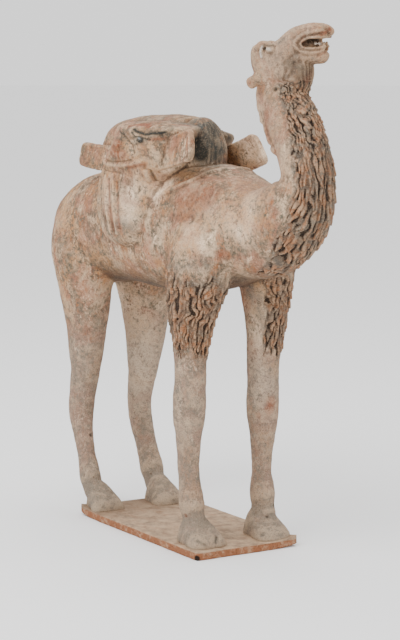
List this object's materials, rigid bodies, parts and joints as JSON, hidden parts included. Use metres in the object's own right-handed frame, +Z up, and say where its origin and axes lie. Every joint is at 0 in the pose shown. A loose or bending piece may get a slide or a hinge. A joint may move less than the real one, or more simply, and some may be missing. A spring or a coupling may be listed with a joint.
{
  "type": "terracotta camel figure",
  "caption": "Standing terracotta camel with raised head and open mouth, shaggy neck and forelegs, and a pack saddle with boards and mask-faced bags, on a thin clay slab.",
  "frame": {"origin": "centre of the slab's underside, on the surface it stands on", "axes": "+X towards the camel's chest and head, +Y to the camel's left, +Z up"},
  "size_m": [0.6679, 0.2027, 0.7243],
  "materials": {
    "painted_terracotta": "matt",
    "slab_terracotta": "matt"
  },
  "bodies": {
    "root": {"camel": "painted_terracotta", "base_slab": "slab_terracotta"}
  },
  "joints": []
}
